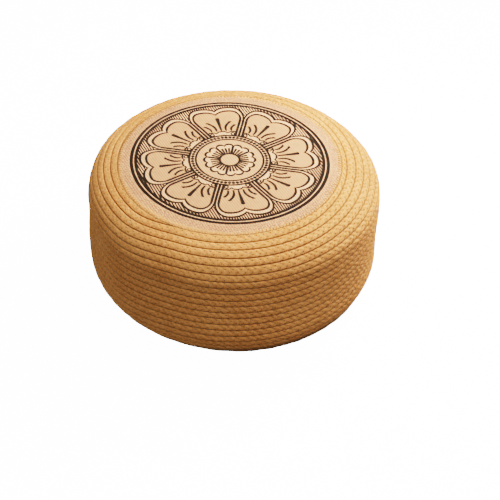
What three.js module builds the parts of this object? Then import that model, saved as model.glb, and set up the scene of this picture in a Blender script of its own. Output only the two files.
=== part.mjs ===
// Round floor pouf: a filled drum whose cover is one flat braided cord wound in a spiral and sewn to
// itself, with a printed cloth disc set into the top. Millimetres, +Z up, origin at the base's centre.
import * as THREE from "three";

const degrees = THREE.MathUtils.degToRad;
const FULL_TURN = 2 * Math.PI;

// Overall size
const height = 200;
const maxRadius = 200;

// Cloth disc in the top
const discRadius = 149;
const discThickness = 1.6;
const discDrop = 4.5; // from its crown to its edge
const discCurve = 4; // power of the radius that the drop follows, so that the middle is nearly flat
const seatGap = 0.3;

// Outer profile, from the disc's edge to the floor
const slopeAngle = degrees(19.5);
const slopeLength = 20;
const shoulderRound = 45.5;
const baseRound = 51.4;
const cordAboveDisc = 0.9; // the innermost turn stands this far over the disc's edge

// The soft top has settled a little sideways over the base
const topShift = { x: -4.6, y: -6.2 };
const shiftReach = 85; // along the profile, where the shift has died out

// Braided cord
const cordPitch = 10; // from groove to groove on the side
const shoulderStretch = 0.2; // how much wider the turns lie at the top
const stretchTurns = 5; // over which that extra width dies out
const turnsBeforeFront = 1.156; // cord between the disc's edge and the first full groove, at the front

// Lines of one turn's section: its place across the cord, and how deep it lies under the profile
const cordSection = [
  { across: 0, depth: 1.4 },
  { across: 0.2, depth: 0 },
  { across: 0.8, depth: 0 },
];

// The cord's tapered start, tucked against the disc's edge, pushes the turns below it outwards
const startAngle = degrees(34);
const startTaper = degrees(14);
const startPush = 0.9; // in turns, halved between the near and the far side of the start
const pushFade = 0.2; // per turn

// Facets
const segments = 60;
const discRings = [0.4, 0.62, 0.78, 0.9];
const shortestFacet = 1.2; // lines of the cord nearer than this to the rim or the foot end in it
const turnsPastRim = 3; // counted from above the rim, so that every turn that starts there is met

// Half a profile in a plane of radius and height, walked by distance from the rim
function makeProfile() {
  const rimRadius = discRadius + seatGap;
  const rimHeight = height - discDrop + cordAboveDisc;
  const slopeEnd = new THREE.Vector2(
    rimRadius + slopeLength * Math.cos(slopeAngle),
    rimHeight - slopeLength * Math.sin(slopeAngle),
  );
  const shoulderCentre = new THREE.Vector2(
    slopeEnd.x - shoulderRound * Math.sin(slopeAngle),
    slopeEnd.y - shoulderRound * Math.cos(slopeAngle),
  );
  const profile = new THREE.Path();
  profile.moveTo(rimRadius, rimHeight);
  profile.lineTo(slopeEnd.x, slopeEnd.y);
  profile.absarc(shoulderCentre.x, shoulderCentre.y, shoulderRound, Math.PI / 2 - slopeAngle, 0, true);
  profile.lineTo(maxRadius, baseRound);
  profile.absarc(maxRadius - baseRound, baseRound, baseRound, 0, -Math.PI / 2, true);
  return profile;
}

const profile = makeProfile();
const profileLength = profile.getLength();

// Height of the cloth disc's upper face: nearly flat, falling away towards its edge
function discTop(radius) {
  return height - discDrop * (Math.min(radius, discRadius) / discRadius) ** discCurve;
}

// Distance along the profile after a number of cord widths
function distanceOf(turns) {
  const widened = shoulderStretch * stretchTurns * (1 - Math.exp(-turns / stretchTurns));
  return cordPitch * (turns + widened);
}

// Cord widths between the rim and a line of the spiral, where whole rows are the grooves between
// turns. The angle runs clockwise from the front, as seen from above.
function turnsOf(row, angle) {
  const wound = row + angle / FULL_TURN;
  const sinceStart = THREE.MathUtils.euclideanModulo(angle - startAngle, FULL_TURN) / FULL_TURN;
  const pushed = THREE.MathUtils.smoothstep(sinceStart, 0, startTaper / FULL_TURN);
  const push = startPush * Math.exp(-pushFade * Math.max(wound + 1, 0));
  return wound + turnsBeforeFront + push * (pushed - sinceStart - 0.5);
}

// A point at an angle and radius, moved with the settled top
function placed(angle, radius, z, shift) {
  return new THREE.Vector3(
    topShift.x * shift - radius * Math.sin(angle),
    topShift.y * shift - radius * Math.cos(angle),
    z,
  );
}

// A point of the cover at a distance along the profile, sunk below it by depth
function coverPoint(angle, distance, depth) {
  const share = THREE.MathUtils.clamp(distance / profileLength, 0, 1);
  const point = profile.getPoint(share);
  const along = profile.getTangent(share);
  const radius = point.x + depth * along.y;
  const z = point.y - depth * along.x;
  const shift = 1 - THREE.MathUtils.smoothstep(distance, 0, shiftReach);
  return placed(angle, radius, Math.max(z, 0), shift);
}

// Collects points and faces. Its quad takes corners anticlockwise as seen from outside, and leaves
// out a triangle whose corners have run together.
function makeSkin() {
  const positions = [];
  const faces = [];
  const add = (point) => positions.push(point.x, point.y, point.z) / 3 - 1;
  const triangle = (a, b, c) => {
    if (a !== b && b !== c && c !== a) faces.push(a, b, c);
  };
  const quad = (a, b, c, d) => {
    triangle(a, b, c);
    triangle(a, c, d);
  };
  const geometry = () =>
    new THREE.BufferGeometry()
      .setAttribute("position", new THREE.Float32BufferAttribute(positions, 3))
      .setIndex(faces)
      .toNonIndexed();
  return { add, quad, geometry };
}

// Joins two rings of points, the first one further up or further in
function addBand(skin, upper, lower) {
  for (let i = 0; i < segments; i += 1) {
    const next = (i + 1) % segments;
    skin.quad(upper[i], upper[next], lower[next], lower[i]);
  }
}

// The filled drum: a shallow seat for the disc, the cord's turns down to the floor, and a flat base
function makeDrum() {
  const skin = makeSkin();
  const angles = Array.from({ length: segments }, (_, i) => (i * FULL_TURN) / segments);
  const ringAt = (pointAt) => angles.map((angle) => skin.add(pointAt(angle)));
  const seatTop = (radius) => discTop(radius) - discThickness - seatGap;

  const seatCentre = skin.add(placed(0, 0, seatTop(0), 1));
  let ring = angles.map(() => seatCentre);
  for (const share of [...discRings, (discRadius + seatGap) / discRadius]) {
    const radius = share * discRadius;
    const next = ringAt((angle) => placed(angle, radius, seatTop(radius), 1));
    addBand(skin, ring, next);
    ring = next;
  }

  const rim = ringAt((angle) => coverPoint(angle, 0, 0));
  const foot = ringAt((angle) => coverPoint(angle, profileLength, 0));
  addBand(skin, ring, rim);
  const known = new Map();
  const cordVertex = (segment, line) => {
    if (segment === segments) return cordVertex(0, line + cordSection.length);
    const key = segment + "/" + line;
    if (!known.has(key)) {
      const row = Math.floor(line / cordSection.length);
      const { across, depth } = cordSection[line - row * cordSection.length];
      const distance = distanceOf(turnsOf(row + across, angles[segment]));
      let vertex = rim[segment];
      if (distance > profileLength - shortestFacet) vertex = foot[segment];
      else if (distance > shortestFacet) vertex = skin.add(coverPoint(angles[segment], distance, depth));
      known.set(key, vertex);
    }
    return known.get(key);
  };
  const firstLine = -turnsPastRim * cordSection.length;
  const lastLine = Math.ceil(profileLength / cordPitch) * cordSection.length;
  for (let segment = 0; segment < segments; segment += 1) {
    for (let line = firstLine; line < lastLine; line += 1) {
      skin.quad(
        cordVertex(segment, line),
        cordVertex(segment + 1, line),
        cordVertex(segment + 1, line + 1),
        cordVertex(segment, line + 1),
      );
    }
  }

  const baseCentre = skin.add(new THREE.Vector3(0, 0, 0));
  addBand(skin, foot, foot.map(() => baseCentre));
  return skin.geometry();
}

// The printed cloth disc, following the crown of the top
function makeDisc() {
  const radii = [0, ...discRings, 1].map((share) => share * discRadius);
  const under = radii.map((radius) => new THREE.Vector2(radius, discTop(radius) - discThickness));
  const over = radii.map((radius) => new THREE.Vector2(radius, discTop(radius))).reverse();
  return new THREE.LatheGeometry([...under, ...over], segments).rotateX(Math.PI / 2);
}

const drum = new THREE.Mesh(
  makeDrum(),
  new THREE.MeshStandardMaterial({ color: 0xc68f50, roughness: 0.9, metalness: 0 }),
);
drum.name = "braided_drum";

const disc = new THREE.Mesh(
  makeDisc(),
  new THREE.MeshStandardMaterial({ color: 0xe4c29c, roughness: 0.85, metalness: 0 }),
);
disc.name = "printed_disc";
disc.position.set(topShift.x, topShift.y, 0);

const pouf = new THREE.Group();
pouf.add(drum, disc);

export default pouf;
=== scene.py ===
# Round floor pouf: a filled drum covered by one flat braided cord that is wound in a spiral, and a
# printed cloth disc set into its top. Metres, +Z up, the front towards -Y.
import math

import bpy
import numpy as np
from mathutils import Matrix, Vector


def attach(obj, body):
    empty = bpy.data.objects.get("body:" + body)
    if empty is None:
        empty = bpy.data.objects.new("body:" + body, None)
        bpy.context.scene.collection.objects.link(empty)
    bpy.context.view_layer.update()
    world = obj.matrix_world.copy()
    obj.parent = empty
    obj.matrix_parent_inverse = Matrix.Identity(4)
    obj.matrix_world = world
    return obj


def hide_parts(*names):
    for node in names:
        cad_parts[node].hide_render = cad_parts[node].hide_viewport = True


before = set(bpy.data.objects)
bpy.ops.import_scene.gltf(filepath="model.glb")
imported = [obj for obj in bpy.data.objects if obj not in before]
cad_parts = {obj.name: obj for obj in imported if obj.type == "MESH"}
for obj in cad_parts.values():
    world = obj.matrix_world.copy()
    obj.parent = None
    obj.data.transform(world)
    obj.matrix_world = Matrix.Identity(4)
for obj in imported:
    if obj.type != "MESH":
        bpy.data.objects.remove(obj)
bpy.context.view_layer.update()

MM = 0.001
FULL_TURN = 2 * math.pi

# Overall form, the same as the solids'
HEIGHT = 200 * MM
MAX_RADIUS = 200 * MM
DISC_RADIUS = 149 * MM
DISC_DROP = 4.5 * MM  # from the disc's crown to its edge
DISC_CURVE = 4  # power of the radius that the drop follows
SEAT_GAP = 0.3 * MM
SLOPE_ANGLE = math.radians(19.5)
SLOPE_LENGTH = 20 * MM
SHOULDER_ROUND = 45.5 * MM
BASE_ROUND = 51.4 * MM
CORD_ABOVE_DISC = 0.9 * MM

# Half section of the cover in a plane of radius and height: a slope, the shoulder's round, the side
# and the base's round. Distances run along it from the rim, which is the edge beside the disc.
RIM = np.array([DISC_RADIUS + SEAT_GAP, HEIGHT - DISC_DROP + CORD_ABOVE_DISC])
SLOPE_WAY = np.array([math.cos(SLOPE_ANGLE), -math.sin(SLOPE_ANGLE)])
SLOPE_INWARD = np.array([-math.sin(SLOPE_ANGLE), -math.cos(SLOPE_ANGLE)])
SHOULDER_TURN = math.pi / 2 - SLOPE_ANGLE
SHOULDER_CENTRE = RIM + SLOPE_LENGTH * SLOPE_WAY + SHOULDER_ROUND * SLOPE_INWARD
SIDE_TOP = SHOULDER_CENTRE + (SHOULDER_ROUND, 0)
SIDE_FOOT = np.array([MAX_RADIUS, BASE_ROUND])
SIDE_LENGTH = np.linalg.norm(SIDE_FOOT - SIDE_TOP)
SIDE_WAY = (SIDE_FOOT - SIDE_TOP) / SIDE_LENGTH
BASE_RADIUS = MAX_RADIUS - BASE_ROUND
STRETCH_ENDS = np.cumsum([SLOPE_LENGTH, SHOULDER_ROUND * SHOULDER_TURN, SIDE_LENGTH,
                          BASE_ROUND * math.pi / 2])
FOOT_DISTANCE = float(STRETCH_ENDS[-1])  # where the flat base begins

# How far the soft cover has settled to the right and to the back, by distance from the rim
SETTLED = (
    {"distance": 0 * MM, "right": -4.6 * MM, "back": -6.2 * MM},
    {"distance": 40 * MM, "right": -1.8 * MM, "back": -4.3 * MM},
    {"distance": 64 * MM, "right": 1.3 * MM, "back": -3.2 * MM},
    {"distance": 90 * MM, "right": 1.7 * MM, "back": -1.2 * MM},
    {"distance": 150 * MM, "right": -0.7 * MM, "back": 0},
    {"distance": 195 * MM, "right": 0.6 * MM, "back": 1.5 * MM},
    {"distance": 216 * MM, "right": 5.1 * MM, "back": 0},
)
TOP_SHIFT = np.array([SETTLED[0]["right"], SETTLED[0]["back"]])

# The cord's winding. It follows the grooves that show more closely than the solids' ribs do, and by
# the foot it has about one turn fewer.
CORD_PITCH = 10.65 * MM  # from groove to groove on the side
SHOULDER_STRETCH = 0.09  # how much wider the turns lie at the top
STRETCH_TURNS = 5.8  # over which that extra width dies out
TURNS_BEFORE_FRONT = 1.565  # cord between the rim and the first full groove, at the front
START_ANGLE = math.radians(21.3)  # of the cord's tapered start, tucked against the disc's edge
START_TAPER = math.radians(31)
START_PUSH = 0.936  # in turns, how far the start pushes those below it outwards
WINDING_WAVES = (  # each turn rises and dips a little round the drum, in cord widths
    {"around": 1, "cosine": -0.33, "sine": 0.23},
    {"around": 2, "cosine": 0.23, "sine": -0.11},
)

# Places of the mesh's lines across one turn, close together at the grooves, and its steps around
COVER_LINES = (0, 0.035, 0.09, 0.17, 0.28, 0.39, 0.5, 0.61, 0.72, 0.83, 0.91, 0.965)
COVER_STEPS = 864
BASE_LINES = (0, 0.08, 0.28, 0.5, 0.72, 0.92)
BASE_STEPS = 288
SLIVER = 0.01 * MM  # a face that reaches less than this into its piece is left out

# The cord is one winding, cut into pieces at whole turns. Rows are its turns, counted from above the
# rim so that every turn that starts there is met. What lies outside a piece's reach is cut off, so
# the rows under the base run a little past both of its ends.
FIRST_ROW = -3
LAST_ROW = math.ceil(FOOT_DISTANCE / CORD_PITCH - 0.5) + 1
COVER = {"reach": (0, FOOT_DISTANCE), "lines": COVER_LINES, "steps": COVER_STEPS}
BASE = {"reach": (FOOT_DISTANCE, FOOT_DISTANCE + BASE_RADIUS), "lines": BASE_LINES, "steps": BASE_STEPS}
CORD_PIECES = (
    {"name": "cord_shoulder", "rows": (FIRST_ROW, 7), **COVER},
    {"name": "cord_side", "rows": (7, 15), **COVER},
    {"name": "cord_foot", "rows": (15, LAST_ROW), **COVER},
    {"name": "cord_base", "rows": (20, 40), **BASE},
)

# Section of the cord
GROOVE_DEPTH = 2.0 * MM
GROOVE_FROM = 0.55  # of the half width, where the cord starts to round down
GROOVE_POWER = 3.2
CORD_CROWN = 0.3 * MM
PLAIT_FADES = (0.5, 0.96)  # of the half width, between which the plait's relief dies out
RIM_TUCK = 1.2 * MM  # how deep the cord dives at the rim
RIM_TUCK_REACH = 3 * MM

# Plait of three flat strands
STRANDS = 3
STITCH_LENGTH = 10.5 * MM  # from kernel to kernel along one side of the plait
PLAIT_SWING = 2.6 * MM
STRAND_HALF_WIDTH = 3.1 * MM
STRAND_THICKNESS = 0.85 * MM
STRAND_ARCH = 2.3  # power of its arched section: 2 is an ellipse, more is flatter
STRAND_RISE = 0.34 * MM
STRAND_HIGHEST = STRAND_RISE + STRAND_THICKNESS
STRAND_BLEND = 0.1 * MM  # over which one strand's threads give way to the next one's
THREADS_PER_STRAND = 5
PLAIT_DEEPEST = 0.9 * MM
SLACK_MIDDLE = 0.78  # the plait is tight on the left and slack on the right, where its relief and the painted shade in its hollows are stronger
SLACK_RIGHT = 0.5
HOLE_LINES = ({"side": 1, "shift": 0.25}, {"side": -1, "shift": 0.75})  # staggered by half a stitch
HOLE_ASIDE = 1.9 * MM  # pin-holes beside the plait's middle, one for each kernel
HOLE_LENGTH = 1.9 * MM
HOLE_WIDTH = 1.3 * MM
HOLE_EDGE = (1.3, 0.6)  # of its half size, between which its painted shade darkens it

# Unevenness of handwork: slow waves along the cord, each with its own seed and speed
ROW_WANDER = {"seed": 3, "speed": 1, "size": 0.25 * MM}  # grooves, up and down
ROW_LUMP = {"seed": 11, "speed": 9, "size": 0.15 * MM}  # surface, in and out
STITCH_WANDER = {"seed": 17, "speed": 6, "size": 1.5 * MM}  # kernels, along the cord
KERNEL_SPREAD = {"seed": 23, "speed": 20, "size": 0.25}  # relief of the kernels, as a share of it
WAVES = 7
WAVE_RATES = (0.8, 6.5)

# Colours of the cord, and of the shade and contact shadow painted on it
CORD_COLOUR = (0.85, 0.257, 0.064, 1)
CORD_COLOUR_DARK = (0.71, 0.197, 0.044, 1)
CORD_COLOUR_PALE = (0.97, 0.38, 0.118, 1)
CORD_SHADE = (0.20, 0.088, 0.024, 1)
# Painted shade in the grooves, the pin-holes and the crease at the disc
RECESS_SHADE_COLOUR = (0.105, 0.044, 0.005, 1)
FOOT_SHADOW_COLOUR = (0.095, 0.052, 0.020, 1)
FOOT_SHADOW_HEIGHTS = (33 * MM, 22 * MM)  # heights between which a painted contact shadow darkens the cord towards the floor
GROOVE_SHADES = (0.65, 0.92)  # of the half width, between which the cord's edge is shaded
# of the half width, between which the groove is darkened with painted shade
GROOVE_DARKENS = (0.84, 0.95)
GROOVE_PALES = (60 * MM, 180 * MM)  # places on the right between which the grooves' painted shade gets paler
GROOVE_PALEST = 0.45
CREASE_SHADE_RADII = (DISC_RADIUS + 2 * MM, DISC_RADIUS + 1.2 * MM)  # painted shade in the crease where the cord meets the disc
# heights above which that painted shade lies
CREASE_SHADE_ABOVE = (170 * MM, 180 * MM)

# Colours of the cloth, its stitches and its ink
CLOTH_PALE = (0.84, 0.42, 0.182, 1)
CLOTH_MARGIN = (0.76, 0.315, 0.122, 1)
CLOTH_PINK = (0.25, 0.100, 0.050, 1)
CLOTH_WARM = (0.585, 0.258, 0.098, 1)
CLOTH_SHADE = (0.17, 0.055, 0.025, 1)
THREAD_COLOUR = (0.74, 0.26, 0.07, 1)
INK_BLEED = (0.062, 0.052, 0.034, 1)
INK_COLOUR = (0.007, 0.004, 0.0015, 1)

# Surface of the yarns
CORD_ROUGHNESS = 0.85
CORD_SHEEN = 0.05
CLOTH_ROUGHNESS = 0.95
SHEEN_ROUGHNESS = 0.5
SPECULAR = 0.04
STRAND_BUMP = 0.7 * MM  # how high a step of 1 in the bump stands
THREAD_BUMP = 0.3 * MM
STITCH_BUMP = 0.4 * MM

# Cloth disc
CLOTH_THICKNESS = 1.2 * MM
DISC_RINGS = 60
DISC_STEPS = 288
DISC_MIDDLE = 0.004  # its innermost ring, as a share of its radius
DISC_EDGE = (  # rounded down, each line that far in from the edge and down from the top
    {"inward": 0.25 * MM, "down": 0.25 * MM},
    {"inward": 0, "down": 0.7 * MM},
)
FLAT_INWARD = 0.8 * MM  # where that rounding starts

# Overcast stitches round the disc's edge, each a bar of yarn with rings of points along it
STITCHES = 200
STITCH_REACH = 5 * MM
STITCH_OVER = 1.2 * MM
STITCH_LEAN = 1.5 * MM
STITCH_HALF_WIDTH = 1.25 * MM
STITCH_FLATNESS = 0.6
STITCH_UNEVEN = {"place": 0.12, "reach": 0.5 * MM, "lean": 0.1 * MM, "width": (0.85, 1.1)}
STITCH_SEED = 7
STITCH_SIDES = 6
STITCH_END = ((3, 2, 1, 0), (0, 5, 4, 3))  # corners of the two faces that close an end
STITCH_RINGS = (
    {"along": 0, "width": 0.15, "lift": -0.5 * MM},
    {"along": 0.12, "width": 0.7, "lift": 0},
    {"along": 0.35, "width": 1, "lift": 0.25 * MM},
    {"along": 0.65, "width": 1, "lift": 0.2 * MM},
    {"along": 0.88, "width": 0.7, "lift": -0.1 * MM},
    {"along": 1, "width": 0.15, "lift": -0.6 * MM},
)

# The printed flower, in millimetres and measured from its middle
PRINT_CENTRE = (-4.85 * MM, -5.8 * MM)
PRINT_SLIP = -2.4  # how far its inner part lies towards the front, fading out by the ring
SLIP_FADES = (135, 70)
PRINT_STRETCH = 0.016  # across, and the same again askew
INK_EDGE = 0.7  # over which a line's edge fades
THIN_EDGE = 0.2  # half the width over which a shape of the print is cut off, from thin to wide
CLEAN_EDGE = 0.3
SOFT_EDGE = 0.5
WIDE_EDGE = 1
PETAL_HALF_ANGLE = math.pi / 8
PETAL_BEARING = math.radians(8.2)  # of a petal's middle line, from +X, before the twist
PETAL_TWIST = math.radians(2.3) / 75  # for each millimetre of radius
LOBE_ANGLE = math.radians(11.2)
LOBE_SPREAD = math.radians(13.2)
OUTER_PETAL = {"base": 99, "swell": 19, "side_gap": 0, "corner": 19}
INNER_PETAL = {"base": 91.4, "swell": 18.4, "side_gap": 4.5, "corner": 14}
PETAL_LINE = 3.35
PETAL_STROKES = (  # each from a place out along the petal and aside from its middle line to another
    {"start": (65.5, 0), "end": (92, 0), "power": 1, "widths": (2.4, 3.6)},
    {"start": (64.5, 6.5), "end": (83, 15.5), "power": 2.6, "widths": (2.3, 3.3)},
    {"start": (64, 13.5), "end": (75, 20), "power": 2.4, "widths": (2.3, 3.3)},
)
STROKE_LEAN = 0.5  # how much thinner a stroke is reckoned across its outer, steeper end
RING_INNER = 123.7
HATCH_STEP = 3.25
HATCH_BEARING = math.radians(114)  # of its straight lines, the same all over the cloth
HATCH_LINES = (1.7, 2.6)
HATCH_FROM = (100, 101)  # radii between which it begins
HATCH_CLOSES = 117  # radius from which its lines widen towards the ring
COLLAR_RADIUS = 62
COLLAR_LINE = 2.6
SCALLOP_ANGLE = math.radians(15)
SCALLOP_SWELL = 4.2
SCALLOP_RIPPLE = 0.8
RIPPLES = 4  # small points along each scallop
COLLAR_RING = {"radius": 57.6, "angle": math.radians(14), "size": 2.4, "line": 1.8}
BEAD_OUTER = 53.3  # radii of the rings that hold the beads
BEAD_INNER = 44.5
BEAD_RADIUS = 48.9
BEAD_SIZE = 2.35
BEADS = 60
ROSETTE_CENTRE = 12.9
RINGS = (
    {"radius": 129.4, "width": 4.4},
    {"radius": RING_INNER, "width": 4.0},
    {"radius": BEAD_OUTER, "width": 3.0},
    {"radius": BEAD_INNER, "width": 2.7},
    {"radius": ROSETTE_CENTRE, "width": 2.7},
)
ROSETTE_BEARING = math.radians(-8.8)
ROSETTE_LOBE_SPREAD = math.radians(13)
ROSETTE_BASE = 26
ROSETTE_SWELL = 7.6
ROSETTE_LINE = 3.2
ROSETTE_NOTCH = 29.5
ROSETTE_DIVIDER = 3.3
ROSETTE_LINES_FROM = (12, 13)  # radii between which dividers and spokes begin
SPOKE_END = 25.3
SPOKE_LINES = (2.0, 2.9)
PLAIN_BAND_FROM = (33, 34)
PLAIN_BAND_WARMTH = 0.75

# Twill of the cloth, in the print's millimetres
TWILL_STEP = 3.2
TWILL_BEARING = math.radians(117)  # of the ridges, from +X
THREAD_STEP = 0.9
MARGIN_FROM = (128, 136)  # radii between which the plain margin begins
FRAY_FROM = (150, 156)
FRAY = {"speckle": 9, "mottle": 6}

# Camera
CAMERA_ELEVATION = math.radians(41.79)
CAMERA_ROLL = math.radians(0.859)
CAMERA_DISTANCE = 2.0
CAMERA_TARGET = Vector((0.02403, 0, 0.03168))
SENSOR_WIDTH = 36
FOCAL_LENGTH = 101.61

# Light: a near key from behind on the right, a soft one above, a weak one on the left, and an even
# surround
LIGHT_AIM = Vector((0, 0, 0.15))
WORLD_STRENGTH = 0.63
WORLD_COLOUR = (0.92, 1.0, 1.0, 1)
LIGHTS = (
    {"name": "key", "azimuth": 32, "elevation": 47, "distance": 0.65, "size": 0.43, "power": 20.5,
     "colour": (1, 0.865, 0.93)},
    {"name": "top_light", "azimuth": -30, "elevation": 72, "distance": 2.5, "size": 1.0, "power": 70,
     "colour": (1, 0.95, 1)},
    {"name": "left_light", "azimuth": 195, "elevation": 25, "distance": 2.5, "size": 1.5, "power": 2,
     "colour": (0.8, 1, 1)},
)

# Floor
FLOOR_HALF_WIDTH = 12
FLOOR_ROUGHNESS = 0.9
FLOOR_SHADE = 0.9
FLOOR_GLOW = 12.0
BOUNCE_SHADE = 0.26
BOUNCE_DEPTH = 0.2 * MM  # how far the floor that lights the pouf lies under the one that is seen


def smoothstep(x, low, high):
    """0 below low, 1 above high, and a smooth rise between them."""
    t = np.clip((x - low) / (high - low), 0, 1)
    return t * t * (3 - 2 * t)


def along_line(start, way, distance):
    """Radius, height and unit tangent along a straight stretch of the half section."""
    return start[0] + distance * way[0], start[1] + distance * way[1], way[0], way[1]


def along_arc(centre, radius, angle):
    """Radius, height and unit tangent along a round stretch, whose outward normal rises by angle."""
    return (centre[0] + radius * np.cos(angle), centre[1] + radius * np.sin(angle),
            np.sin(angle), -np.cos(angle))


def half_section(distance):
    """Radius, height and unit tangent of the cover's half section, by distance from the rim.
    Past the foot it runs on under the base towards the centre."""
    slope_end, shoulder_end, side_end, foot = STRETCH_ENDS
    stretches = (
        along_line(RIM, SLOPE_WAY, distance),
        along_arc(SHOULDER_CENTRE, SHOULDER_ROUND,
                  SHOULDER_TURN - (distance - slope_end) / SHOULDER_ROUND),
        along_line(SIDE_TOP, SIDE_WAY, distance - shoulder_end),
        along_arc((BASE_RADIUS, BASE_ROUND), BASE_ROUND, (side_end - distance) / BASE_ROUND),
        along_line((BASE_RADIUS, 0), (-1, 0), distance - foot),
    )
    which = np.searchsorted(STRETCH_ENDS, distance)
    return [np.choose(which, [np.broadcast_to(part, distance.shape) for part in parts])
            for parts in zip(*stretches)]


def disc_top(radius):
    """Height of the cloth disc's upper face."""
    return HEIGHT - DISC_DROP * (np.minimum(radius, DISC_RADIUS) / DISC_RADIUS) ** DISC_CURVE


def distance_of(turns):
    """Distance from the rim after a number of cord widths."""
    widened = SHOULDER_STRETCH * STRETCH_TURNS * (1 - np.exp(-turns / STRETCH_TURNS))
    return CORD_PITCH * (turns + widened)


def turns_of(row, angle):
    """Cord widths between the rim and a line of the spiral. Whole rows are the grooves, and the angle
    runs clockwise from the front, as seen from above."""
    wound = row + angle / FULL_TURN
    since_start = np.mod(angle - START_ANGLE, FULL_TURN) / FULL_TURN
    pushed = smoothstep(since_start, 0, START_TAPER / FULL_TURN)
    turns = wound + TURNS_BEFORE_FRONT + START_PUSH * (pushed - since_start - 0.5)
    for wave in WINDING_WAVES:
        turns = turns + wave["cosine"] * np.cos(wave["around"] * angle)
        turns = turns + wave["sine"] * np.sin(wave["around"] * angle)
    return turns


def wander(wound, seed, speed, size):
    """A slow wave along the whole cord, which differs from turn to turn."""
    random = np.random.RandomState(seed)
    lowest, highest = WAVE_RATES
    waves = random.uniform((lowest, 0), (highest, FULL_TURN), (WAVES, 2))
    total = sum(np.sin(FULL_TURN * rate * (wound * speed) + phase) for rate, phase in waves)
    return size * total / math.sqrt(WAVES / 2)


def settled(distance, way):
    """Shift of the cover to the right or to the back, at a distance from the rim."""
    shift = SETTLED[0][way]
    for above, below in zip(SETTLED, SETTLED[1:]):
        passed = smoothstep(distance, above["distance"], below["distance"])
        shift = shift + (below[way] - above[way]) * passed
    return shift


def cover_point(angle, distance, depth):
    """Points of the cover at a distance from the rim, sunk below the half section by depth."""
    radius, height, along_r, along_z = half_section(np.maximum(distance, 0))
    out = np.maximum(radius + depth * along_z, 0)
    return np.stack([settled(distance, "right") - out * np.sin(angle),
                     settled(distance, "back") - out * np.cos(angle),
                     np.maximum(height - depth * along_r, 0)], -1)


def plait(along, across):
    """Depth of the plait under its highest points. along and across are lengths, with across 0 on
    the cord's middle."""
    depth = np.full(np.broadcast(along, across).shape, PLAIT_DEEPEST)
    for strand in range(STRANDS):
        phase = FULL_TURN * (along / (STRANDS * STITCH_LENGTH) + strand / STRANDS)
        beside = (across - PLAIT_SWING * np.sin(phase)) / STRAND_HALF_WIDTH
        arch = np.maximum(1 - np.abs(beside) ** STRAND_ARCH, 0) ** (1 / STRAND_ARCH)
        lift = STRAND_RISE * np.sin(2 * phase) + STRAND_THICKNESS * arch
        depth = np.minimum(depth, STRAND_HIGHEST - lift)
    return depth


def cord_relief(along, share, wound, angle):
    """Depth of the cord's surface under the half section, at a share of the way across the cord."""
    edge = np.abs(2 * share - 1)
    groove = GROOVE_DEPTH * np.clip((edge - GROOVE_FROM) / (1 - GROOVE_FROM), 0, 1) ** GROOVE_POWER
    slack = SLACK_MIDDLE - SLACK_RIGHT * np.sin(angle)
    dip = plait(along, CORD_PITCH * (share - 0.5)) * slack * (1 + wander(wound, **KERNEL_SPREAD))
    lump = wander(wound, **ROW_LUMP)
    flat_near_groove = 1 - smoothstep(edge, *PLAIT_FADES)
    depth = groove + CORD_CROWN * edge**2 + (dip + lump) * flat_near_groove + ROW_LUMP["size"]
    return np.maximum(depth, 0)


def cord_lengths(rows, angles):
    """Length of cord wound from the first row's start to each angle of each row, at its middle."""
    row, angle = np.meshgrid(rows, angles, indexing="ij")
    points = cover_point(angle, distance_of(turns_of(row + 0.5, angle)), 0)
    steps = np.linalg.norm(np.diff(points, axis=1), axis=2)
    within = np.concatenate([np.zeros((len(rows), 1)), np.cumsum(steps, axis=1)], axis=1)
    before = np.concatenate([[0], np.cumsum(within[:-1, -1])])
    return within + before[:, None]


def spiral_numbers(rows, lines, steps):
    """Numbers of a winding's points by row, line and step. A row's last line is the next row's first
    one, and its last step is the first step of the row below."""
    line = np.arange(rows)[:, None] * lines + np.arange(lines + 1)
    numbers = line[:, :, None] * (steps + 1) + np.arange(steps + 1)
    below = line + lines
    numbers[:, :, steps] = np.where(below <= rows * lines, below * (steps + 1), numbers[:, :, steps])
    return numbers


def face_corners(grid):
    """Values at the four corners of each face of a grid, anticlockwise as seen from outside."""
    return np.stack([grid[..., :-1, :-1], grid[..., :-1, 1:], grid[..., 1:, 1:], grid[..., 1:, :-1]],
                    -1).reshape(-1, 4)


def new_object(name, points, faces, maps, material):
    """A smooth mesh object from points, four-cornered faces and UV maps by face corner."""
    mesh = bpy.data.meshes.new(name)
    mesh.vertices.add(len(points))
    mesh.vertices.foreach_set("co", np.asarray(points, np.float32).ravel())
    mesh.loops.add(faces.size)
    mesh.loops.foreach_set("vertex_index", faces.astype(np.int32).ravel())
    mesh.polygons.add(len(faces))
    mesh.polygons.foreach_set("loop_start", np.arange(0, faces.size, faces.shape[1], dtype=np.int32))
    mesh.polygons.foreach_set("use_smooth", np.ones(len(faces), bool))
    for map_name, corners in maps.items():
        layer = mesh.uv_layers.new(name=map_name, do_init=False)
        layer.uv.foreach_set("vector", np.asarray(corners, np.float32).ravel())
    mesh.update()
    mesh.validate()
    mesh.materials.append(material)
    made = bpy.data.objects.new(name, mesh)
    bpy.context.scene.collection.objects.link(made)
    return made


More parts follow.
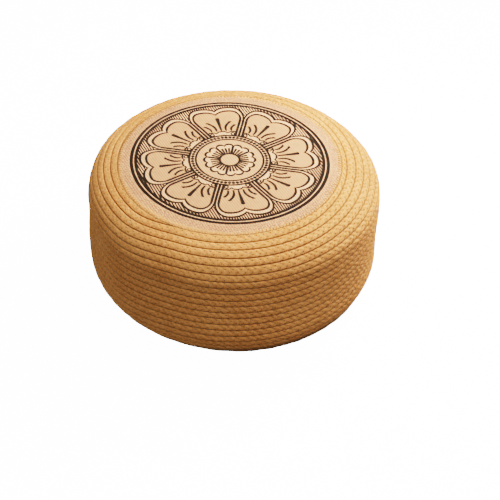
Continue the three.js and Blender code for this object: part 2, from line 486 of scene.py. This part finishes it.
def make_cord_piece(name, rows, reach, lines, steps, material):
    """Some turns of the cord as one mesh, cut off at the ends of its reach from the rim."""
    first_row, last_row = rows
    low, high = reach
    angles = np.linspace(0, FULL_TURN, steps + 1)
    length = cord_lengths(np.arange(FIRST_ROW, last_row), angles)[first_row - FIRST_ROW:]

    # Each array goes by row, line across the row and step around it
    row = np.arange(first_row, last_row)[:, None, None]
    share = np.array([*lines, 1])[None, :, None]
    angle = angles[None, None, :]
    wound = row + angle / FULL_TURN
    drift = wander(wound, **ROW_WANDER) * (1 - share) + wander(wound + 1, **ROW_WANDER) * share
    distance = distance_of(turns_of(row + share, angle)) + drift
    along = length[:, None, :] + wander(wound, **STITCH_WANDER)
    emerged = smoothstep(distance, 0, RIM_TUCK_REACH)
    depth = np.maximum(cord_relief(along, share, wound, angle) * emerged, RIM_TUCK * (1 - emerged))
    held = np.clip(distance, low, high)

    numbers = spiral_numbers(last_row - first_row, len(lines), steps)
    points = np.zeros((numbers.max() + 1, 3))
    points[numbers.ravel()] = cover_point(angle, held, depth).reshape(-1, 3)
    reached = face_corners(distance)
    kept = (reached.max(1) > low + SLIVER) & (reached.min(1) < high - SLIVER)
    used, faces = np.unique(face_corners(numbers)[kept], return_inverse=True)

    angle_at, held_at, along_at, share_at = (
        face_corners(np.broadcast_to(values, distance.shape))[kept]
        for values in (angle, held, along, share))
    maps = {
        "OFBake": np.stack([angle_at / FULL_TURN, (held_at - low) / (high - low)], -1),
        "Cord": np.stack([along_at, share_at], -1),
    }
    return new_object(name, points[used], faces.reshape(-1, 4), maps, material)


class Field:
    """A number that varies over a surface, held by a shader socket. Arithmetic on it adds nodes."""

    def __init__(self, tree, socket):
        self.tree = tree
        self.socket = socket

    def math(self, operation, *others):
        node = self.tree.nodes.new("ShaderNodeMath")
        node.operation = operation
        for slot, value in zip(node.inputs, (self, *others)):
            connect(self.tree, value, slot)
        return Field(self.tree, node.outputs[0])

    def __add__(self, other):
        return self.math("ADD", other)

    def __sub__(self, other):
        return self.math("SUBTRACT", other)

    def __mul__(self, other):
        return self.math("MULTIPLY", other)

    def __truediv__(self, other):
        return self.math("DIVIDE", other)

    def __pow__(self, other):
        return self.math("POWER", other)

    def __abs__(self):
        return self.math("ABSOLUTE")

    __radd__ = __add__
    __rmul__ = __mul__

    def __rsub__(self, other):
        return self * -1 + other

    def root(self):
        return self.math("SQRT")

    def sine(self):
        return self.math("SINE")

    def cosine(self):
        return self.math("COSINE")

    def least(self, other):
        return self.math("MINIMUM", other)

    def most(self, other):
        return self.math("MAXIMUM", other)

    def folded(self, half_step):
        """Distance to the nearest multiple of twice half_step."""
        return self.math("PINGPONG", half_step)

    def clamped(self, low=0.0, high=1.0):
        return self.most(low).least(high)

    def rise(self, low, high):
        """0 at low, 1 at high, and a smooth rise between them. Low may be the greater one."""
        node = self.tree.nodes.new("ShaderNodeMapRange")
        node.interpolation_type = "SMOOTHSTEP"
        connect(self.tree, self, node.inputs["Value"])
        node.inputs["From Min"].default_value = low
        node.inputs["From Max"].default_value = high
        return Field(self.tree, node.outputs["Result"])

    def above_zero(self, edge=CLEAN_EDGE):
        """1 where it is above 0 and 0 where it is below, fading over an edge on either side."""
        return self.rise(-edge, edge)


def connect(tree, value, socket):
    """Sets a socket to a number or colour, or links a field or another socket to it."""
    if isinstance(value, Field):
        tree.links.new(value.socket, socket)
    elif isinstance(value, bpy.types.NodeSocket):
        tree.links.new(value, socket)
    else:
        socket.default_value = value


def length_of(a, b):
    """Length of a vector with these two parts."""
    return (a * a + b * b).root()


def fields_of(tree, vector):
    """The X, Y and Z of a vector as three fields."""
    split = tree.nodes.new("ShaderNodeSeparateXYZ")
    tree.links.new(vector, split.inputs["Vector"])
    return [Field(tree, split.outputs[axis]) for axis in "XYZ"]


def noise(tree, vector, scale, detail=2, roughness=0.6, stretch=(1, 1, 1)):
    """Smooth noise around 0.5, with scale in lumps to a metre."""
    mapping = tree.nodes.new("ShaderNodeMapping")
    mapping.inputs["Scale"].default_value = stretch
    tree.links.new(vector, mapping.inputs["Vector"])
    node = tree.nodes.new("ShaderNodeTexNoise")
    node.inputs["Scale"].default_value = scale
    node.inputs["Detail"].default_value = detail
    node.inputs["Roughness"].default_value = roughness
    tree.links.new(mapping.outputs["Vector"], node.inputs["Vector"])
    return Field(tree, node.outputs[0])


def painted(tree, colour, layers):
    """A colour with layers over it. Each layer has a share, which is 1 where it covers what is
    below, and a colour."""
    for share, over in layers:
        node = tree.nodes.new("ShaderNodeMix")
        node.data_type = "RGBA"
        connect(tree, share, node.inputs["Factor"])
        connect(tree, colour, node.inputs["A"])
        connect(tree, over, node.inputs["B"])
        colour = node.outputs["Result"]
    return colour


def bumped(tree, height, distance, under=None):
    """A normal raised by a height field, over another normal."""
    node = tree.nodes.new("ShaderNodeBump")
    node.inputs["Distance"].default_value = distance
    connect(tree, height, node.inputs["Height"])
    if under is not None:
        tree.links.new(under, node.inputs["Normal"])
    return node.outputs["Normal"]


def new_material(name, roughness, sheen):
    """A yarn material, its nodes, its shader and the place on the object that drives its pattern."""
    material = bpy.data.materials.new(name)
    material.use_nodes = True
    tree = material.node_tree
    shader = tree.nodes["Principled BSDF"]
    shader.inputs["Roughness"].default_value = roughness
    shader.inputs["Specular IOR Level"].default_value = SPECULAR
    shader.inputs["Sheen Weight"].default_value = sheen
    shader.inputs["Sheen Roughness"].default_value = SHEEN_ROUGHNESS
    shader.inputs["Sheen Tint"].default_value = CORD_COLOUR_PALE
    place = tree.nodes.new("ShaderNodeTexCoord").outputs["Object"]
    return material, tree, shader, place


def plait_fields(along, across):
    """Height of the plait's upper strand, which is the mesh's plait again, and its threads."""
    height = None
    for strand in range(STRANDS):
        phase = along * (FULL_TURN / (STRANDS * STITCH_LENGTH)) + FULL_TURN * strand / STRANDS
        beside = (across - phase.sine() * PLAIT_SWING) / STRAND_HALF_WIDTH
        arch = (1 - abs(beside) ** STRAND_ARCH).most(0) ** (1 / STRAND_ARCH)
        lift = (phase * 2).sine() * STRAND_RISE + arch * STRAND_THICKNESS
        ridges = (beside * (FULL_TURN * THREADS_PER_STRAND / 2) + strand).sine() * 0.5 + 0.5
        if height is None:
            height = lift
            threads = ridges
        else:
            above = ((lift - height) * (1 / STRAND_BLEND)).clamped()
            threads = threads + (ridges - threads) * above
            height = height.most(lift)
    return height, threads


def pin_holes(along, across):
    """1 in the pin-holes, which lie in two staggered lines beside the cord's middle."""
    holes = []
    for line in HOLE_LINES:
        stitches = along * (1 / STITCH_LENGTH) + line["shift"]
        hole_along = stitches.folded(0.5) * (2 * STITCH_LENGTH / HOLE_LENGTH)
        hole_across = (across - line["side"] * HOLE_ASIDE) * (2 / HOLE_WIDTH)
        holes.append(length_of(hole_along, hole_across).rise(*HOLE_EDGE))
    return holes[0].most(holes[1])


def make_cord_material():
    """Flat plaited yarn: strands and threads in the bump, and in the colour painted shade in its
    hollows, pin-holes, grooves and the crease at the disc, and a painted contact shadow at the foot.
    """
    material, tree, shader, place = new_material("braided_cord", CORD_ROUGHNESS, CORD_SHEEN)
    cord = tree.nodes.new("ShaderNodeUVMap")
    cord.uv_map = "Cord"
    along, share, _ = fields_of(tree, cord.outputs["UV"])
    across = (share - 0.5) * CORD_PITCH
    x, y, z = fields_of(tree, place)
    height, threads = plait_fields(along, across)
    holes = pin_holes(along, across)

    slow = noise(tree, place, scale=14, roughness=0.5)
    patchy = noise(tree, cord.outputs["UV"], scale=260, detail=3, stretch=(1, 0.01, 1))
    speckle = noise(tree, place, scale=600)
    fuzz = noise(tree, place, scale=1500)

    # How deep each place lies in the plait and how slack it is there, which set the painted shade in its
    # hollows
    hollow = ((STRAND_HIGHEST - height) * (1 / PLAIT_DEEPEST)).clamped()
    slack = x * (SLACK_RIGHT / MAX_RADIUS) + SLACK_MIDDLE
    edge = abs(share * 2 - 1)
    # Painted shade in the grooves, paler on the right
    groove = edge.rise(*GROOVE_DARKENS) * (1 - x.rise(*GROOVE_PALES) * GROOVE_PALEST)
    # Painted shade in the crease where the cord meets the disc
    from_disc = length_of(x - float(TOP_SHIFT[0]), y - float(TOP_SHIFT[1]))
    crease_shade = from_disc.rise(*CREASE_SHADE_RADII) * z.rise(*CREASE_SHADE_ABOVE)

    # Each layer: where it lies and how strongly, and its colour. The last ones are painted shade and a
    # painted contact shadow.
    tan = painted(tree, CORD_COLOUR, (
        (slow.rise(0.35, 0.65), CORD_COLOUR_DARK),
        (patchy.rise(0.4, 0.75) * 0.6, CORD_COLOUR_PALE),
        (speckle.rise(0.5, 0.7) * 0.5, CORD_COLOUR_PALE),
        (speckle.rise(0.5, 0.3) * 0.5, CORD_SHADE),
        (threads.rise(0.55, 0.0) * 0.3, CORD_SHADE),
        (fuzz.rise(0.3, 0.8) * 0.2, CORD_SHADE),
        # Painted shade in the plait's hollows, stronger on the right
        (hollow.rise(0.3, 1.0) * slack * 0.6, CORD_SHADE),
        # Painted shade in the pin-holes
        (holes * 0.85, RECESS_SHADE_COLOUR),
        # Painted shade on the cord's edges and in its grooves
        (edge.rise(*GROOVE_SHADES) * 0.15, CORD_SHADE),
        (groove, RECESS_SHADE_COLOUR),
        # Painted shade in the crease at the disc
        (crease_shade * 0.8, RECESS_SHADE_COLOUR),
        # Painted contact shadow, darker towards the floor
        (z.rise(*FOOT_SHADOW_HEIGHTS) * 0.85, FOOT_SHADOW_COLOUR),
    ))
    connect(tree, tan, shader.inputs["Base Color"])

    fine = bumped(tree, threads + fuzz * 0.8 + speckle * 1.5, THREAD_BUMP)
    coarse = bumped(tree, height * (1 / STRAND_HIGHEST) - holes * 0.6, STRAND_BUMP, fine)
    connect(tree, coarse, shader.inputs["Normal"])
    return material


def inked(distance, width):
    """Ink of a line of that width, at a distance from its middle."""
    return ((width * 0.5 - abs(distance)) * (1 / INK_EDGE) + 0.5).clamped()


def across_lines(x, y, bearing):
    """Distance measured across parallel lines of that bearing."""
    return x * math.sin(bearing) - y * math.cos(bearing)


def rounded_petal(radius, angle, base, swell, side_gap, corner):
    """Distance inside one half of a heart-shaped petal. angle is from the petal's middle line."""
    from_lobe = (angle - LOBE_ANGLE) / LOBE_SPREAD
    lobe = (1 - from_lobe * from_lobe).most(0).root()
    to_end = lobe * swell + base - radius
    to_side = radius * (PETAL_HALF_ANGLE - angle).sine() - side_gap
    near_end = (corner - to_end).most(0)
    near_side = (corner - to_side).most(0)
    return corner - length_of(near_end, near_side)


def petal_stroke(out, aside, start, end, power, widths):
    """Ink of a curved stroke that leaves the petal's middle line, thicker at its outer end."""
    share = ((out - start[0]) / (end[0] - start[0])).clamped()
    middle = share**power * (end[1] - start[1]) + start[1]
    beyond = out - out.clamped(start[0], end[0])
    width = share * (widths[1] - widths[0]) + widths[0]
    steep = 1 + share * STROKE_LEAN
    return inked(length_of(beyond, (aside - middle) / steep), width)


def make_collar(radius, angle, out, aside):
    """Ink of a petal's share of the scalloped collar, and of the small ring where petals meet."""
    scallop = abs((angle * (math.pi / SCALLOP_ANGLE)).cosine())
    ripple = abs((angle * (RIPPLES * math.pi / SCALLOP_ANGLE)).cosine())
    edge = scallop.root() * SCALLOP_SWELL + ripple * SCALLOP_RIPPLE + COLLAR_RADIUS - SCALLOP_SWELL
    ring_out = out - COLLAR_RING["radius"] * math.cos(COLLAR_RING["angle"])
    ring_aside = aside - COLLAR_RING["radius"] * math.sin(COLLAR_RING["angle"])
    from_ring = length_of(ring_out, ring_aside) - COLLAR_RING["size"]
    return inked(radius - edge, COLLAR_LINE), inked(from_ring, COLLAR_RING["line"])


def make_rosette(radius, bearing):
    """Ink of the rosette: eight double-lobed petals with spokes, round a plain middle."""
    from_divider = bearing.folded(PETAL_HALF_ANGLE)
    from_lobe = (from_divider - PETAL_HALF_ANGLE / 2) / ROSETTE_LOBE_SPREAD
    lobes = (1 - from_lobe * from_lobe).most(0).root() * ROSETTE_SWELL + ROSETTE_BASE
    begun = radius.rise(*ROSETTE_LINES_FROM)
    divider = inked(radius * from_divider.sine(), ROSETTE_DIVIDER)
    divider = divider * begun * (ROSETTE_NOTCH - radius).above_zero()
    reach = ((radius - ROSETTE_CENTRE) / (SPOKE_END - ROSETTE_CENTRE)).clamped()
    width = reach * (SPOKE_LINES[1] - SPOKE_LINES[0]) + SPOKE_LINES[0]
    spoke = inked(radius * bearing.folded(PETAL_HALF_ANGLE / 4), width)
    spoke = spoke * begun * (SPOKE_END - radius).above_zero()
    return inked(radius - lobes, ROSETTE_LINE).most(divider).most(spoke)


def make_medallion(x, y):
    """Ink of the printed flower at a place from its middle, and where the cloth has a warmer fill."""
    radius = length_of(x, y)
    bearing = y.math("ARCTAN2", x)

    # Eight heart-shaped petals, each with a double outline and strokes that fan out in it
    petal_angle = (bearing - radius * PETAL_TWIST - PETAL_BEARING).folded(PETAL_HALF_ANGLE)
    outer = rounded_petal(radius, petal_angle, **OUTER_PETAL)
    inner = rounded_petal(radius, petal_angle, **INNER_PETAL)
    past_beads = (radius - BEAD_OUTER).above_zero(SOFT_EDGE)
    ink = inked(outer, PETAL_LINE).most(inked(inner, PETAL_LINE)) * past_beads
    out = radius * petal_angle.cosine()
    aside = radius * petal_angle.sine()
    for stroke in PETAL_STROKES:
        ink = ink.most(petal_stroke(out, aside, **stroke))

    # Straight hatching between the petals and the ring, which closes up towards the ring
    stripe = across_lines(x, y, HATCH_BEARING).folded(HATCH_STEP / 2)
    widened = radius.rise(HATCH_CLOSES, RING_INNER) * (HATCH_LINES[1] - HATCH_LINES[0])
    hatch = inked(stripe, widened + HATCH_LINES[0])
    in_corner = (1 - outer.above_zero(THIN_EDGE)) * radius.rise(*HATCH_FROM)
    ink = ink.most(hatch * in_corner * (RING_INNER - radius).above_zero(SOFT_EDGE))

    # Collar, rings, beads and rosette
    collar, small_ring = make_collar(radius, petal_angle, out, aside)
    ink = ink.most(collar * inner.above_zero(SOFT_EDGE) * past_beads).most(small_ring)
    for ring in RINGS:
        ink = ink.most(inked(radius - ring["radius"], ring["width"]))
    bead_along = bearing.folded(math.pi / BEADS) * radius
    bead = BEAD_SIZE - length_of(bead_along, radius - BEAD_RADIUS)
    ink = ink.most((bead * (1 / INK_EDGE) + 0.5).clamped())
    ink = ink.most(make_rosette(radius, bearing - ROSETTE_BEARING))

    petals = inner.above_zero() * (radius - COLLAR_RADIUS).above_zero(WIDE_EDGE)
    band = radius.rise(*PLAIN_BAND_FROM) * (BEAD_INNER - radius).above_zero()
    middle = (ROSETTE_CENTRE - radius).above_zero()
    return ink, petals.most(band.most(middle) * PLAIN_BAND_WARMTH)


def make_cloth_material():
    """Light tan twill with the flower printed on it in dark brown."""
    material, tree, shader, place = new_material("printed_cloth", CLOTH_ROUGHNESS, 0)
    across, back, _ = fields_of(tree, place)
    x = (across - PRINT_CENTRE[0]) * (1 / MM)
    y = (back - PRINT_CENTRE[1]) * (1 / MM)
    y = y - length_of(x, y).rise(*SLIP_FADES) * PRINT_SLIP
    x, y = x * (1 - PRINT_STRETCH) + y * PRINT_STRETCH, y + x * PRINT_STRETCH
    ink, warm = make_medallion(x, y)

    # Twill: diagonal ridges, broken by the threads that cross them
    ridge = (across_lines(x, y, TWILL_BEARING) * (FULL_TURN / TWILL_STEP)).sine()
    thread = (y * (FULL_TURN / THREAD_STEP)).sine() * (x * (FULL_TURN / THREAD_STEP)).sine()
    twill = ridge * 0.35 + thread * 0.15 + 0.5
    mottle = noise(tree, place, scale=120, detail=3)
    slow = noise(tree, place, scale=22, roughness=0.5)
    speckle = noise(tree, place, scale=600)
    fuzz = noise(tree, place, scale=900)

    radius = length_of(x, y)
    margin = radius.rise(*MARGIN_FROM)
    frayed = (radius + speckle * FRAY["speckle"] + mottle * FRAY["mottle"]).rise(*FRAY_FROM)
    cloth = painted(tree, CLOTH_PALE, (
        (margin, CLOTH_MARGIN),
        (slow.rise(0.35, 0.65) * margin * 0.2, CLOTH_PINK),
        (warm, CLOTH_WARM),
        (speckle.rise(0.44, 0.6) * (margin * 0.85 + 0.15), CLOTH_PINK),
        (mottle.rise(0.4, 0.7) * 0.2, CLOTH_PINK),
        (twill.rise(0.75, 0.1) * 0.45, CLOTH_SHADE),
        (fuzz.rise(0.4, 0.8) * 0.12, CLOTH_SHADE),
        (frayed * 0.8, THREAD_COLOUR),
        (ink.rise(0.0, 0.6), INK_BLEED),
        (ink.rise(0.2, 0.7), INK_COLOUR),
    ))
    connect(tree, cloth, shader.inputs["Base Color"])
    connect(tree, bumped(tree, twill + fuzz * 0.3, THREAD_BUMP), shader.inputs["Normal"])
    return material


def make_stitch_material():
    """Yarn of the overcast stitches, in tones between the cord's and the cloth's."""
    material, tree, shader, place = new_material("stitch_yarn", CLOTH_ROUGHNESS, 0)
    tone = noise(tree, place, scale=90, detail=3)
    twist = noise(tree, place, scale=700)
    yarn = painted(tree, CLOTH_MARGIN, (
        (tone.rise(0.3, 0.6), THREAD_COLOUR),
        (twist.rise(0.65, 0.35) * 0.6, CLOTH_SHADE),
    ))
    connect(tree, yarn, shader.inputs["Base Color"])
    connect(tree, bumped(tree, twist, STITCH_BUMP), shader.inputs["Normal"])
    return material


def make_floor_material(name, shade, glow):
    """A matt grey of that shade, which also gives off white light."""
    material = bpy.data.materials.new(name)
    material.use_nodes = True
    shader = material.node_tree.nodes["Principled BSDF"]
    shader.inputs["Base Color"].default_value = (shade, shade, shade, 1)
    shader.inputs["Roughness"].default_value = FLOOR_ROUGHNESS
    shader.inputs["Emission Color"].default_value = (1, 1, 1, 1)
    shader.inputs["Emission Strength"].default_value = glow
    return material


def make_disc(material):
    """The printed cloth disc: a closed thin sheet, its edge rounded down."""
    radii = np.linspace(DISC_MIDDLE, 1, DISC_RINGS) * (DISC_RADIUS - FLAT_INWARD)
    section = [(radius, disc_top(radius)) for radius in radii]
    for line in DISC_EDGE:
        section.append((DISC_RADIUS - line["inward"], disc_top(DISC_RADIUS) - line["down"]))
    section += [(radius, disc_top(radius) - CLOTH_THICKNESS) for radius in radii[::-1]]
    radius, height = np.array(section).T[:, :, None]

    angle = np.linspace(0, FULL_TURN, DISC_STEPS, endpoint=False)
    points = np.stack([TOP_SHIFT[0] - radius * np.sin(angle),
                       TOP_SHIFT[1] - radius * np.cos(angle),
                       np.broadcast_to(height, (len(section), DISC_STEPS))], -1).reshape(-1, 3)
    numbers = np.arange(len(points)).reshape(len(section), DISC_STEPS)
    faces = face_corners(np.concatenate([numbers, numbers[:, :1]], 1))
    spread = 0.5 + (points[faces][..., :2] - TOP_SHIFT) / (2 * DISC_RADIUS)
    return new_object("printed_cloth_disc", points, faces, {"OFBake": spread}, material)


def make_edge_stitches(material):
    """Short overcast stitches that hold the disc's edge, each a small closed bar of yarn."""
    random = np.random.RandomState(STITCH_SEED)

    def either_way(most):
        return random.uniform(-most, most)

    turns = np.arange(STITCH_SIDES) * FULL_TURN / STITCH_SIDES
    points = []
    faces = []
    for stitch in range(STITCHES):
        angle = FULL_TURN * (stitch + either_way(STITCH_UNEVEN["place"])) / STITCHES
        inner = DISC_RADIUS - STITCH_REACH + either_way(STITCH_UNEVEN["reach"])
        length = DISC_RADIUS + STITCH_OVER - inner
        lean = either_way(STITCH_UNEVEN["lean"])
        half_width = STITCH_HALF_WIDTH * random.uniform(*STITCH_UNEVEN["width"])
        first = len(points)
        for ring in STITCH_RINGS:
            out = inner + length * ring["along"]
            middle = STITCH_LEAN * (ring["along"] - 0.5) + lean
            wide = half_width * ring["width"]
            top = disc_top(out) + ring["lift"]
            for turn in turns:
                aside = middle + wide * math.cos(turn)
                points.append((TOP_SHIFT[0] - out * math.sin(angle) - aside * math.cos(angle),
                               TOP_SHIFT[1] - out * math.cos(angle) + aside * math.sin(angle),
                               top + STITCH_FLATNESS * wide * math.sin(turn)))
        last = len(points) - STITCH_SIDES
        for low in range(first, last, STITCH_SIDES):
            for side in range(STITCH_SIDES):
                after = (side + 1) % STITCH_SIDES
                faces.append((low + side, low + after,
                              low + STITCH_SIDES + after, low + STITCH_SIDES + side))
        faces += [[first + corner for corner in half] for half in STITCH_END]
        faces += [[last + corner for corner in half[::-1]] for half in STITCH_END]
    return new_object("edge_stitches", points, np.array(faces), {}, material)


def make_camera():
    """The camera of the photograph, slightly rolled, looking down at the pouf from the front."""
    back = Vector((0, -math.cos(CAMERA_ELEVATION), math.sin(CAMERA_ELEVATION)))
    level_right = Vector((1, 0, 0))
    level_up = back.cross(level_right)
    right = math.cos(CAMERA_ROLL) * level_right + math.sin(CAMERA_ROLL) * level_up
    up = -math.sin(CAMERA_ROLL) * level_right + math.cos(CAMERA_ROLL) * level_up
    data = bpy.data.cameras.new("camera")
    data.sensor_width = SENSOR_WIDTH
    data.lens = FOCAL_LENGTH
    camera = bpy.data.objects.new("camera", data)
    turned = Matrix((right, up, back)).transposed().to_4x4()
    camera.matrix_world = Matrix.Translation(CAMERA_TARGET + CAMERA_DISTANCE * back) @ turned
    bpy.context.scene.collection.objects.link(camera)
    bpy.context.scene.camera = camera


def make_floor():
    """A glowing pale floor, which alone is seen, and a dimmer one just under it that lights the pouf."""
    corners = np.array([[-1, -1, 0], [1, -1, 0], [1, 1, 0], [-1, 1, 0]]) * FLOOR_HALF_WIDTH
    face = np.array([[0, 1, 2, 3]])
    seen_material = make_floor_material("floor", FLOOR_SHADE, FLOOR_GLOW)
    seen = new_object("floor", corners, face, {}, seen_material)
    seen.visible_diffuse = False
    seen.visible_glossy = False
    bounce_material = make_floor_material("bounce", BOUNCE_SHADE, 0)
    bounce = new_object("floor_bounce", corners - (0, 0, BOUNCE_DEPTH), face, {}, bounce_material)
    bounce.visible_camera = False


def area_light(name, azimuth, elevation, distance, size, power, colour):
    """A disc of light aimed at the pouf. Azimuth runs from +X to +Y. Both angles are in degrees."""
    data = bpy.data.lights.new(name, "AREA")
    data.shape = "DISK"
    data.size = size
    data.energy = power
    data.color = colour
    light = bpy.data.objects.new(name, data)
    round_to = math.radians(azimuth)
    up_to = math.radians(elevation)
    level = distance * math.cos(up_to)
    place = Vector((level * math.cos(round_to), level * math.sin(round_to), distance * math.sin(up_to)))
    light.location = place + LIGHT_AIM
    light.rotation_mode = "QUATERNION"
    light.rotation_quaternion = place.to_track_quat("Z", "Y")
    bpy.context.scene.collection.objects.link(light)


def make_lights():
    """The even surround and the area lights."""
    world = bpy.data.worlds.new("studio")
    world.use_nodes = True
    background = world.node_tree.nodes["Background"]
    background.inputs["Color"].default_value = WORLD_COLOUR
    background.inputs["Strength"].default_value = WORLD_STRENGTH
    bpy.context.scene.world = world
    for light in LIGHTS:
        area_light(**light)


make_camera()
cord_material = make_cord_material()
for cord_piece in CORD_PIECES:
    piece = make_cord_piece(**cord_piece, material=cord_material)
    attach(piece, "root")
    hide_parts("braided_drum")

disc = make_disc(make_cloth_material())
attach(disc, "root")
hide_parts("printed_disc")

stitches = make_edge_stitches(make_stitch_material())
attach(stitches, "root")

make_floor()
make_lights()
bpy.context.scene.view_settings.view_transform = "Filmic"
